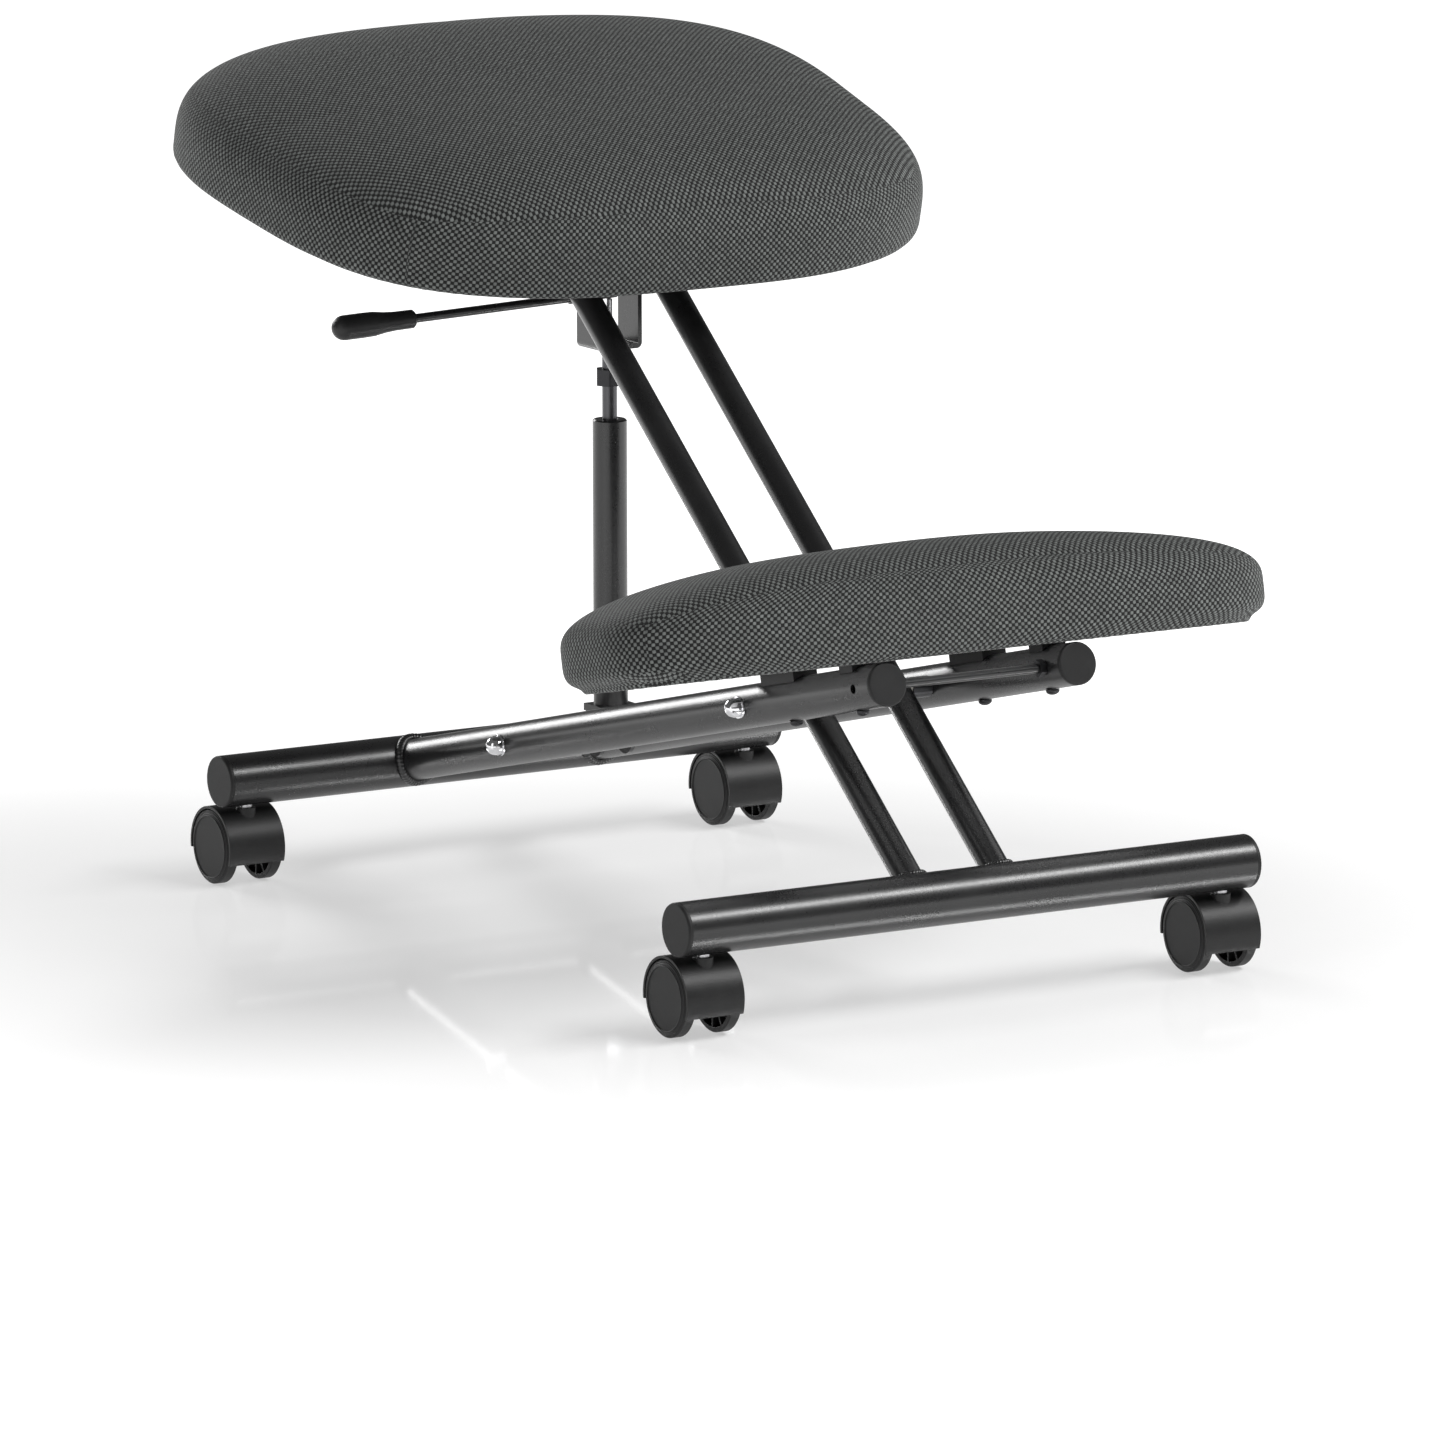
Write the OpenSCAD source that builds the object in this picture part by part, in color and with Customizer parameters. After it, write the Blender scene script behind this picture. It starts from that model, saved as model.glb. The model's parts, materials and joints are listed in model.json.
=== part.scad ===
// Kneeling massage chair: a seat and a knee pad on two crossed tube frames,
// held at a chosen height by a locking gas spring between them.
// Z up, floor at Z = 0, X along the crossbars, Y = 0 midway between the two
// crossbars.  The sitter faces -Y, the knee pad is at -Y, the seat at +Y.
// The release lever is on the -X side.

/* [Base frame] */
// length of each crossbar, end plugs included
bar_len = 432; // [400:1:480]
// outside diameter of the crossbars
bar_d = 35; // [32:0.5:38]
// height of the crossbar axes above the floor
bar_z = 71; // [70:0.5:78]
// distance between the two crossbar axes
wheelbase = 591; // [560:1:620]
// outside diameter of the two side rails
rail_d = 28; // [25:0.5:30]
// sideways distance of each side rail's axis from the middle
rail_x = 71.5; // [68:0.5:80]
// angle by which the side rails rise towards the knee pad
rail_tilt = 13.47; // [12:0.1:15]
// rail length, from the rear crossbar's axis to the front end
rail_len = 629.6; // [610:1:650]
// wall of the crossbars and rails
wall = 2; // [1.5:0.1:2.5]

/* [Seat frame] */
// outside diameter of the two seat struts
strut_d = 19; // [16:0.5:21]
// sideways distance of each strut's axis from the middle
strut_x = 32.7; // [31:0.1:36]
// angle of the struts above the horizontal
strut_tilt = 38.9; // [37:0.1:41]
// distance along the rail from the rear crossbar to the main pivot
pivot_run = 467.4; // [455:0.5:480]
// distance along the rail from the rear crossbar to the spring's lower axle
spring_run = 154.1; // [145:0.5:165]
// diameter of the three cross axles
axle_d = 8; // [7:0.5:10]
// radial slack in the strap's upper eye, where the spring linkage is left open
eye_slack = 1.9; // [1.5:0.1:2.5]

/* [Gas spring] */
// outside diameter of the cylinder
cyl_d = 23; // [22:0.5:26]
// diameter of the piston rod
rod_d = 10; // [8:0.5:11]
// height of the cylinder's top above the lower axle, at rest
cyl_top = 212; // [200:1:220]
// underside of the upper strap above the lower axle, at rest
strap_low = 260; // [255:1:268]

/* [Seat] */
// overall width of the seat cushion
seat_w = 480; // [440:1:500]
// overall depth of the seat cushion
seat_dep = 372; // [350:1:400]
// thickness of the seat cushion
seat_t = 84; // [70:1:95]
// forward tilt of the seat
seat_tilt = 13.5; // [10:0.5:16]
// seat cushion centre, front to back
seat_y = 206; // [195:1:215]
// seat cushion centre height (its widest level)
seat_z = 490; // [485:1:500]

/* [Knee pad] */
// overall width of the knee pad
pad_w = 486; // [440:1:500]
// overall depth of the knee pad
pad_dep = 172; // [160:1:180]
// thickness of the knee pad
pad_t = 74; // [60:1:80]
// angle by which the knee pad rises towards its front edge
pad_tilt = 12; // [11:0.5:13]
// knee pad centre, front to back
pad_y = -232; // [-240:1:-231]

/* [Casters] */
// caster wheel diameter
wheel_d = 50; // [46:1:50]
// sideways distance of each caster's stem from the middle
caster_x = 195.5; // [185:0.5:198]
// distance by which the wheel axle trails behind the stem
trail = 11.7; // [10:0.1:13]

/* [Hidden] */
$fn = 64;
eps = 0.01;
rear_y = wheelbase/2;
front_y = -wheelbase/2;
pivot_y = rear_y - pivot_run*cos(rail_tilt);
pivot_z = bar_z + pivot_run*sin(rail_tilt);
spring_y = rear_y - spring_run*cos(rail_tilt);
spring_z = bar_z + spring_run*sin(rail_tilt);
upper_run = (spring_y - pivot_y)/cos(strut_tilt);
upper_z = pivot_z + upper_run*sin(strut_tilt);
rod_c = 0.1;                    // radial running clearance
seat_cb = 32;                   // cushion depth below its widest level
seat_ct = seat_t - seat_cb;
pad_cb = 28;
pad_ct = pad_t - pad_cb;
lining_t = 1.5;
board_t = 12;
// height of the knee pad's flat underside at the pad's centre: 0.9 mm clear of
// the rails' front ends
pad_low = bar_z + (rear_y - pad_y)*tan(rail_tilt) + rail_d/2/cos(rail_tilt) + 2.85;
pad_z = pad_low + pad_cb/cos(pad_tilt);
wr = wheel_d/2;
hood_r = wr + 2.5;
screw_s = [512.8, 595.4];       // knee pad screws, along the rail
screw_d = 5;
seat_screw = [[-75,-98],[75,-98],[-75,48],[75,48]];
lever_x = -24;                  // lever pivot
lever_z = upper_z - 23.2;
lever_tilt = 2;

// ---------------------------------------------------------------- frames ---
// local -Y runs forward and up along the rails, local Z is square to them
module on_rail(s=0) translate([0,rear_y,bar_z]) rotate([-rail_tilt,0,0]) translate([0,-s,0]) children();
// local +Y runs back and up along the struts, from the main pivot
module on_strut(s=0) translate([0,pivot_y,pivot_z]) rotate([strut_tilt,0,0]) translate([0,s,0]) children();
module on_seat() translate([0,seat_y,seat_z]) rotate([seat_tilt,0,0]) children();
module on_pad() translate([0,pad_y,pad_z]) rotate([-pad_tilt,0,0]) children();
module at_spring() translate([0,spring_y,spring_z]) children();
module cylx(r,x0,x1) translate([x0,0,0]) rotate([0,90,0]) cylinder(r=r,h=x1-x0);
module cyly(r,y0,y1) translate([0,y0,0]) rotate([-90,0,0]) cylinder(r=r,h=y1-y0);
module tubex(ro,ri,x0,x1) difference(){ cylx(ro,x0,x1); cylx(ri,x0-1,x1+1); }
module tubez(ro,ri,z0,z1) translate([0,0,z0]) difference(){ cylinder(r=ro,h=z1-z0); translate([0,0,-1]) cylinder(r=ri,h=z1-z0+2); }

// ------------------------------------------------------------ base frame ---
module crossbar(y)
  translate([0,y,bar_z]) difference(){
    cylx(bar_d/2,-bar_len/2+3,bar_len/2-3);
    cylx(bar_d/2-wall,-bar_len/2+2,bar_len/2-2);
    for(s=[-1,1]) translate([s*caster_x,0,-bar_d]) cylinder(r=4+rod_c,h=bar_d);
  }
module bar_plug()  // flange and stub of a crossbar end plug, flange face at X = 0
  rotate([0,90,0]) rotate_extrude()
    polygon([[0,0],[bar_d/2-1.2,0],[bar_d/2-0.35,0.35],[bar_d/2,1.2],[bar_d/2,2.98],
             [bar_d/2-wall-0.15,2.98],[bar_d/2-wall-0.15,13.5],[bar_d/2-wall-1.2,15],
             [bar_d/2-wall-2.5,15],[bar_d/2-wall-2.5,3.5],[0,3.5]]);
module bar_plugs(y) translate([0,y,bar_z]){
  translate([-bar_len/2,0,0]) bar_plug();
  translate([bar_len/2,0,0]) mirror([1,0,0]) bar_plug();
}
module rear_crossbar() color([0.06,0.06,0.065]) crossbar(rear_y);
module front_crossbar() color([0.06,0.06,0.065]) crossbar(front_y);
module rear_bar_plugs() color([0.05,0.05,0.05]) bar_plugs(rear_y);
module front_bar_plugs() color([0.05,0.05,0.05]) bar_plugs(front_y);

module side_rail(x) difference(){
  on_rail() translate([x,0,0]) difference(){
    cyly(rail_d/2,-rail_len+3,0);
    cyly(rail_d/2-wall,-rail_len+2,1);
    translate([0,-pivot_run,0]) cylx(axle_d/2+0.05,-20,20);
    translate([0,-spring_run,0]) cylx(axle_d/2+0.05,-20,20);
    translate([0,-rail_len+20,0]) cylx(3.05,-20,20);
    for(s=screw_s) translate([0,-s,-20]) cylinder(r=screw_d/2+0.1,h=40);
  }
  translate([0,rear_y,bar_z]) cylx(bar_d/2,-150,150);
}
module side_rail_left() color([0.06,0.06,0.065]) side_rail(-rail_x);
module side_rail_right() color([0.06,0.06,0.065]) side_rail(rail_x);
module rail_plug() // flange face at Y = 0, stub towards +Y
  rotate([-90,0,0]) rotate_extrude()
    polygon([[0,0],[rail_d/2-1.2,0],[rail_d/2-0.35,0.35],[rail_d/2,1.2],[rail_d/2,2.98],
             [rail_d/2-wall-0.15,2.98],[rail_d/2-wall-0.15,11],[rail_d/2-wall-1,12],
             [rail_d/2-wall-2.3,12],[rail_d/2-wall-2.3,3.5],[0,3.5]]);
module rail_end_plugs() color([0.05,0.05,0.05])
  on_rail() for(s=[-1,1]) translate([s*rail_x,-rail_len,0]) rail_plug();
module tie_rod() color([0.07,0.07,0.075])
  on_rail(rail_len-20) cylx(3,-rail_x-2,rail_x+2);
module hexnut(af,h,r) difference(){ cylinder(r=af/2/cos(30),h=h,$fn=6); translate([0,0,-1]) cylinder(r=r,h=h+2,$fn=48); }
module tie_rod_nuts() color([0.1,0.1,0.1])
  on_rail(rail_len-20) for(s=[-1,1]) translate([s*(rail_x-rail_d/2-0.1),0,0]) rotate([0,-s*90,0]) hexnut(10,4.5,3.05);

// ------------------------------------------------------------ cross axles --
module pivot_axle() color([0.55,0.55,0.57]) on_rail(pivot_run) cylx(axle_d/2,-rail_x-19,rail_x+19);
module spring_axle() color([0.55,0.55,0.57]) on_rail(spring_run) cylx(axle_d/2,-rail_x-19,rail_x+19);
module pivot_spacers() color([0.08,0.08,0.08]) on_rail(pivot_run)
  for(s=[-1,1]) tubex(7,axle_d/2+0.05,s>0?strut_x+strut_d/2+0.6:-rail_x+rail_d/2+0.05,s>0?rail_x-rail_d/2-0.05:-strut_x-strut_d/2-0.6);
module spring_axle_spacers() color([0.08,0.08,0.08]) on_rail(spring_run)
  for(s=[-1,1]) tubex(6,axle_d/2+0.05,s>0?13.4:-rail_x+rail_d/2+0.05,s>0?rail_x-rail_d/2-0.05:-13.4);
// domed cap nut, seat face at X = 0, dome towards +X, blind bore for the axle
module cap_nut() rotate([0,90,0]) difference(){
  union(){
    cylinder(r=7.2,h=1.4);
    translate([0,0,1.35]) cylinder(r=6.3,h=2.6,$fn=64);
    translate([0,0,3.9]) intersection(){ sphere(r=6.3); cylinder(r=7,h=7); }
  }
  translate([0,0,-1]) cylinder(r=axle_d/2+0.05,h=6.4);
}
module axle_cap_nuts() color([0.8,0.8,0.82])
  for(run=[pivot_run,spring_run]) on_rail(run){
    translate([rail_x+rail_d/2+0.02,0,0]) cap_nut();
    translate([-rail_x-rail_d/2-0.02,0,0]) mirror([1,0,0]) cap_nut();
  }

// ---------------------------------------------------------------- casters --
module stems(y) for(s=[-1,1]) translate([s*caster_x,y,0]) {
  translate([0,0,30]) cylinder(r=4,h=bar_z-30+6);
  translate([0,0,bar_z+6]) cylinder(r1=4,r2=2.8,h=2);
  translate([0,0,bar_z-bar_d/2+wall+0.95]) difference(){ cylinder(r=5.2,h=2.4); translate([0,0,-1]) cylinder(r=3.9,h=5); }
}
module rear_caster_stems() color([0.6,0.6,0.62]) stems(rear_y);
module front_caster_stems() color([0.6,0.6,0.62]) stems(front_y);
// swivelling hood: a drum-shaped guard over both wheels, a web between them,
// and the stem boss; stem axis at X = Y = 0
module hood(x,y) translate([x,y,0]) difference(){
  union(){
    translate([0,trail,wr]) difference(){
      cylx(hood_r,-21,21);
      cylx(wr+0.7,-22,-12.6);
      cylx(wr+0.7,12.6,22);
      // open below, and open behind below the axle
      translate([-30,-40,-40]) cube([60,80,40-9.5]);
      translate([-30,4,-40]) cube([60,40,40-4]);
    }
    translate([0,0,30]) cylinder(r=6.5,h=bar_z-bar_d/2-1.5-30);
    translate([0,trail,wr]) cylx(9,-12.6,12.6);
  }
  translate([0,0,29]) cylinder(r=4+rod_c,h=60);
  translate([0,trail,wr]) cylx(3.02,-30,30);
}
module hood_front_left() color([0.05,0.05,0.05]) hood(-caster_x,front_y);
module hood_front_right() color([0.05,0.05,0.05]) hood(caster_x,front_y);
module hood_rear_left() color([0.05,0.05,0.05]) hood(-caster_x,rear_y);
module hood_rear_right() color([0.05,0.05,0.05]) hood(caster_x,rear_y);
module caster_axle(x,y) translate([x,y+trail,wr]) cylx(3,-19.6,19.6);
module caster_axle_front_left() color([0.6,0.6,0.62]) caster_axle(-caster_x,front_y);
module caster_axle_front_right() color([0.6,0.6,0.62]) caster_axle(caster_x,front_y);
module caster_axle_rear_left() color([0.6,0.6,0.62]) caster_axle(-caster_x,rear_y);
module caster_axle_rear_right() color([0.6,0.6,0.62]) caster_axle(caster_x,rear_y);
// one of the twin wheels; plain stepped face outward at X = 21.6, ribbed dish inward
module wheel_solid() {
  rotate([0,90,0]) rotate_extrude() polygon([
    [0,20.2],[3+rod_c,20.2],[3+rod_c,13.3],[6.5,13.3],[6.5,18.2],[21.8,18.2],
    [21.8,13.3],[wr-0.5,13.3],[wr,13.8],[wr,20.2],[wr-0.6,20.8],[wr-1.4,20.8],
    [wr-1.4,21.2],[wr-2.4,21.2],[wr-2.9,21.6],[0,21.6]]);
  for(a=[0:30:330]) rotate([a,0,0]) translate([13.6,-0.7,6]) cube([4.8,1.4,16.2]);
}
module wheel(x,y,side) translate([x,y+trail,wr]) mirror([side<0?1:0,0,0]) wheel_solid();
module wheel_front_left_outer() color([0.09,0.09,0.09]) wheel(-caster_x,front_y,-1);
module wheel_front_left_inner() color([0.09,0.09,0.09]) wheel(-caster_x,front_y,1);
module wheel_front_right_outer() color([0.09,0.09,0.09]) wheel(caster_x,front_y,1);
module wheel_front_right_inner() color([0.09,0.09,0.09]) wheel(caster_x,front_y,-1);
module wheel_rear_left_outer() color([0.09,0.09,0.09]) wheel(-caster_x,rear_y,-1);
module wheel_rear_left_inner() color([0.09,0.09,0.09]) wheel(-caster_x,rear_y,1);
module wheel_rear_right_outer() color([0.09,0.09,0.09]) wheel(caster_x,rear_y,1);
module wheel_rear_right_inner() color([0.09,0.09,0.09]) wheel(caster_x,rear_y,-1);

// ------------------------------------------------------------- seat frame --
module strut(x) intersection(){
  difference(){
    on_strut() translate([x,0,0]) difference(){
      cyly(strut_d/2,-190,upper_run+40);
      cyly(strut_d/2-1.6,-200,upper_run+50);
      cylx(6.05,-15,15);
      translate([0,upper_run,0]) cylx(axle_d/2+0.05,-15,15);
    }
    translate([0,front_y,bar_z]) cylx(bar_d/2,-100,100);
  }
  // above the crossbar, and below the seat bracket's plate
  on_seat() translate([-100,-600,-636]) cube([200,900,600]);
  translate([-100,front_y,0]) cube([200,600,600]);
}
module strut_left() color([0.06,0.06,0.065]) strut(-strut_x);
module strut_right() color([0.06,0.06,0.065]) strut(strut_x);
module strut_bushes() color([0.85,0.84,0.8]) on_strut()
  for(s=[-1,1]) translate([s*strut_x,0,0]) tubex(6,axle_d/2+0.08,-strut_d/2-0.4,strut_d/2+0.4);
module seat_bracket() color([0.06,0.06,0.065]) difference(){
  union(){
    on_seat() translate([-92,-112,-36]) cube([184,174,3.9]);
    on_seat() for(s=[-1,1]) translate([s>0?43.2:-46.2,-106,-60]) cube([3,66,24.1]);
  }
  on_seat() for(p=seat_screw) translate([p[0],p[1],-40]) cylinder(r=3.2,h=20);
  on_seat() for(s=[-1,1]) translate([s*75,-25,-40]) cylinder(r=12,h=20);
  translate([0,spring_y,upper_z]) cylx(axle_d/2+0.05,-60,60);
}
module upper_axle() color([0.55,0.55,0.57]) translate([0,spring_y,upper_z]){
  cylx(axle_d/2,-47,56);
  translate([-51.9,0,0]) rotate([0,90,0]) cylinder(r=13/2/cos(30),h=5.3,$fn=6);
  // spacer rings either side of the strap
  tubex(7,axle_d/2-0.1,-23.0,-18.2);
  tubex(7,axle_d/2-0.1,18.2,23.0);
}
module upper_axle_nuts() color([0.55,0.55,0.57]) translate([46.4,spring_y,upper_z]) rotate([0,90,0]) hexnut(13,6.5,axle_d/2+0.05);

// rounded-rectangle style outline (superellipse), n points
function sgn(v) = v<0 ? -1 : 1;
function pw(v,e) = sgn(v)*pow(abs(v),e);
function ring(a,b,p,k,z,n) = [for(i=[0:n-1]) let(t=360*i/n, y=b*pw(sin(t),2/p)) [a*pw(cos(t),2/p)*(1+k*y/b), y, z]];
// upholstered cushion: flat below with a pocket for the board, domed on top
function levels(ct,cb,mt,mb,nt,nb) = concat(
  [for(i=[0:nb-1]) let(f=31*(1-i/nb)) [pow(cos(f),2/mb), -cb*pow(sin(f),2/mb)]],
  [for(i=[0:nt-1]) let(f=90*i/nt) [pow(cos(f),2/mt), ct*pow(sin(f),2/mt)]]);
module cushion(a,b,ct,cb,p,mt,mb,k,crown,inset,pocket){
  n=64;
  lv=[for(l=levels(ct,cb,mt,mb,11,5)) if(l[0]>0.5) l];
  rings=concat(
    [ring(a-inset,b-inset,p,k,-cb+pocket,n)],
    [ring(a-inset,b-inset,p,k,-cb,n)],
    [ring(a*0.955,b*0.925,p,k,-cb,n)],
    [for(l=lv) [for(q=ring(a*l[0],b*l[0],p,k,0,n)) [q[0],q[1],l[1]>0 ? l[1]*(1-crown*pow(q[0]/a,2)) : l[1]]]],
    [for(f=[0.42,0.22]) [for(q=ring(a*f,b*f,p,k,0,n)) [q[0],q[1],ct*pow(1-pow(f,mt),1/mt)*(1-crown*pow(q[0]/a,2))]]]);
  m=len(rings);
  pts=concat([for(r=rings) for(q=r) q],[[0,0,-cb+pocket],[0,0,ct]]);
  faces=concat(
    [for(j=[0:m-2]) for(i=[0:n-1]) [j*n+i,(j+1)*n+i,(j+1)*n+(i+1)%n]],
    [for(j=[0:m-2]) for(i=[0:n-1]) [j*n+i,(j+1)*n+(i+1)%n,j*n+(i+1)%n]],
    [for(i=[0:n-1]) [m*n,i,(i+1)%n]],
    [for(i=[0:n-1]) [m*n+1,(m-1)*n+(i+1)%n,(m-1)*n+i]]);
  polyhedron(points=pts,faces=faces,convexity=4);
}
module outline(a,b,p,k,h) linear_extrude(height=h) polygon([for(q=ring(a,b,p,k,0,64)) [q[0],q[1]]]);
module seat_cushion() color([0.17,0.17,0.18]) on_seat() translate([0,0,-15])
  cushion(seat_w/2,seat_dep/2,seat_ct+12.4,seat_cb-15,3.1,3.4,9,0.06,0.06,20,board_t+lining_t+0.5);
module seat_board() color([0.72,0.58,0.4]) on_seat() difference(){
  translate([0,0,-seat_cb+lining_t]) outline(seat_w/2-21.2,seat_dep/2-21.2,3.1,0.06,board_t);
  for(p=seat_screw) translate([p[0],p[1],-seat_cb-1]) cylinder(r=4.6,h=30);
}
module seat_underlining() color([0.1,0.1,0.1]) on_seat() difference(){
  translate([0,0,-seat_cb+0.02]) outline(seat_w/2-21.2,seat_dep/2-21.2,3.1,0.06,lining_t-0.04);
  for(p=seat_screw) translate([p[0],p[1],-seat_cb-1]) cylinder(r=4,h=30);
}
// screw with a domed head below; head seat at Z = 0, shaft upward
module dome_screw(d,hd,hh,len){
  cylinder(r=d/2,h=len);
  rotate_extrude() polygon(concat([[0,0],[hd/2,0]],[for(i=[1:8]) let(f=90*i/8) [hd/2*cos(f)+(i==8?0:0),-0.6-(hh-0.6)*sin(f)]],[[0,-hh]]));
}
module seat_screws() color([0.12,0.12,0.12]) on_seat()
  for(p=seat_screw) translate([p[0],p[1],-36.02]) dome_screw(6,12,3.4,17);
module tnut(d,h) difference(){
  union(){ cylinder(r=d/2+1.4,h=h); translate([0,0,h-1.2]) cylinder(r=9,h=1.2); }
  translate([0,0,-1]) cylinder(r=d/2+0.05,h=h+3);
}
module seat_tnuts() color([0.6,0.6,0.62]) on_seat()
  for(p=seat_screw) translate([p[0],p[1],-seat_cb+lining_t+2.6]) difference(){
    cylinder(r=4.5,h=board_t-2.62); translate([0,0,-1]) cylinder(r=3.05,h=20); }

// --------------------------------------------------------------- knee pad --
module knee_holes(r) on_rail() for(x=[-rail_x,rail_x]) for(s=screw_s) translate([x,-s,0]) cylinder(r=r,h=60);
module knee_cushion() color([0.17,0.17,0.18]) on_pad()
  cushion(pad_w/2,pad_dep/2,pad_ct,pad_cb,3.6,2.5,7,-0.02,0.15,15,board_t+lining_t+0.5);
module knee_board() color([0.72,0.58,0.4]) difference(){
  on_pad() translate([0,0,-pad_cb+lining_t]) outline(pad_w/2-16.2,pad_dep/2-16.2,3.6,-0.02,board_t);
  knee_holes(4.2);
}
module knee_underlining() color([0.8,0.8,0.8]) difference(){
  on_pad() translate([0,0,-pad_cb+0.02]) outline(pad_w/2-16.2,pad_dep/2-16.2,3.6,-0.02,lining_t-0.04);
  knee_holes(3.6);
}
// four packing blocks between rails and pad, each hollowed to the rail
module knee_spacers() color([0.05,0.05,0.05]) difference(){
  on_rail() for(x=[-rail_x,rail_x]){
    translate([x-9,-screw_s[0]-18,10]) cube([18,41,14]);
    translate([x-9,-screw_s[1]-8,10]) cube([18,16,14]);
  }
  on_rail() for(x=[-rail_x,rail_x]) translate([x,0,0]) cyly(rail_d/2,-700,0);
  on_pad() translate([-200,-200,-pad_cb]) cube([400,400,60]);
  knee_holes(screw_d/2+0.2);
}
module knee_screws() color([0.1,0.1,0.1]) on_rail()
  for(x=[-rail_x,rail_x]) for(s=screw_s) translate([x,-s,-rail_d/2-0.02]) dome_screw(screw_d,9,3.5,s<550?40.4:38.9);
module knee_tnuts() color([0.6,0.6,0.62]) intersection(){
  on_rail() for(x=[-rail_x,rail_x]) for(s=screw_s) translate([x,-s,0]) difference(){
    cylinder(r=4.1,h=60); translate([0,0,-1]) cylinder(r=screw_d/2+0.05,h=70); }
  on_pad() translate([-200,-200,-pad_cb+lining_t+2]) cube([400,400,board_t-2.1]);
}

// -------------------------------------------------------------- gas spring --
module cylinder_tube() color([0.04,0.04,0.045]) at_spring() difference(){
  translate([0,0,20]) cylinder(r=cyl_d/2,h=cyl_top-22);
  translate([0,0,23]) cylinder(r=cyl_d/2-1.8,h=cyl_top);
}
module cylinder_gland() color([0.1,0.1,0.1]) at_spring() rotate_extrude()
  polygon([[rod_d/2+rod_c,cyl_top-14],[cyl_d/2-1.85,cyl_top-14],[cyl_d/2-1.85,cyl_top-1.98],[cyl_d/2,cyl_top-1.98],
           [cyl_d/2,cyl_top-1],[cyl_d/2-1,cyl_top],[rod_d/2+rod_c+0.8,cyl_top],[rod_d/2+rod_c,cyl_top-0.8]]);
module lower_clevis() color([0.06,0.06,0.065]) at_spring() difference(){
  union(){
    translate([-14.5,-11,15.2]) cube([29,22,4.78]);
    for(s=[-1,1]) {
      translate([s>0?10:-13,-10.5,-4.5]) cube([3,21,19.8]);
      translate([0,0,-4.5]) cylx(10.5,s>0?10:-13,s>0?13:-10);
    }
  }
  cylx(axle_d/2+0.08,-20,20);
}
module piston_rod() color([0.75,0.75,0.77]) at_spring() difference(){
  union(){
    translate([0,0,40]) cylinder(r=rod_d/2,h=strap_low+10-40);
    translate([0,0,44]) cylinder(r=cyl_d/2-1.9,h=9);
  }
  translate([0,0,strap_low-60]) cylinder(r=2.1,h=90);
}
module rod_nut() color([0.1,0.1,0.1]) at_spring() translate([0,0,234.8]) difference(){
  intersection(){ cylinder(r=17/2/cos(30),h=11,$fn=6); cylinder(r=9.4,h=11); }
  translate([0,0,-1]) cylinder(r=rod_d/2+0.05,h=20);
}
module upper_strap() color([0.06,0.06,0.065]) at_spring() difference(){
  union(){
    for(s=[-1,1]) {
      translate([s>0?14.4:-17.4,-13,strap_low+4]) cube([3,26,upper_z-spring_z-strap_low-4]);
      translate([0,0,upper_z-spring_z]) cylx(9.1,s>0?14.4:-17.4,s>0?17.4:-14.4);
    }
    translate([-13.4,-13,strap_low]) cube([26.8,26,3]);
    for(s=[-1,1]) translate([s*13.4,13,strap_low+4]) rotate([90,0,0]) intersection(){
      difference(){ cylinder(r=4,h=26); translate([0,0,-1]) cylinder(r=1,h=28); }
      translate([s>0?0:-5,-5,0]) cube([5,5.02,26]);
    }
    // lugs that carry the lever pin, outside the left plate
    for(s=[-1,1]) translate([-28,s>0?4.2:-6.2,lever_z-spring_z-5]) cube([10.8,2,10]);
  }
  translate([0,0,upper_z-spring_z]) cylx(axle_d/2+eye_slack,-30,30);
  translate([0,0,strap_low-1]) cylinder(r=rod_d/2+0.05,h=6);
  // window for the lever in the left plate
  translate([-19,-4.1,lever_z-spring_z-6]) cube([6,8.2,12]);
  translate([lever_x,0,lever_z-spring_z]) cyly(1.53,-10,10);
}
module lever_pin() color([0.6,0.6,0.62]) translate([lever_x,spring_y,lever_z]) cyly(1.5,-7.2,7.2);
module release_pin() color([0.75,0.75,0.77]) at_spring() {
  translate([0,0,strap_low-40]) cylinder(r=2,h=lever_z-spring_z-3.8-strap_low+40);
  translate([0,0,lever_z-spring_z-3.82]) intersection(){ translate([0,0,-2]) sphere(r=3.2); cylinder(r=2,h=1.4);}
}
module on_lever() translate([lever_x,spring_y,lever_z]) rotate([0,-lever_tilt,0]) children();
module lever_rod() color([0.07,0.07,0.075]) on_lever() difference(){
  union(){
    cylx(3,-150,27);
    cyly(3.6,-3.4,3.4);
    translate([0,-3,-3]) cube([28,6,3]);
  }
  cyly(1.58,-10,10);
}
module lever_grip() color([0.05,0.05,0.05]) on_lever() rotate([0,-90,0]) rotate_extrude()
  polygon(concat([[3.04,126],[5.4,126],[6.2,127],[6.3,140],[6.9,148],[8.1,156],[8.3,164],[8.3,178]],
    [for(i=[1:8]) let(f=90*i/8) [i==8?0:8.3*cos(f),178+8.6*sin(f)]],[[0,151],[3.04,151]]));

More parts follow.
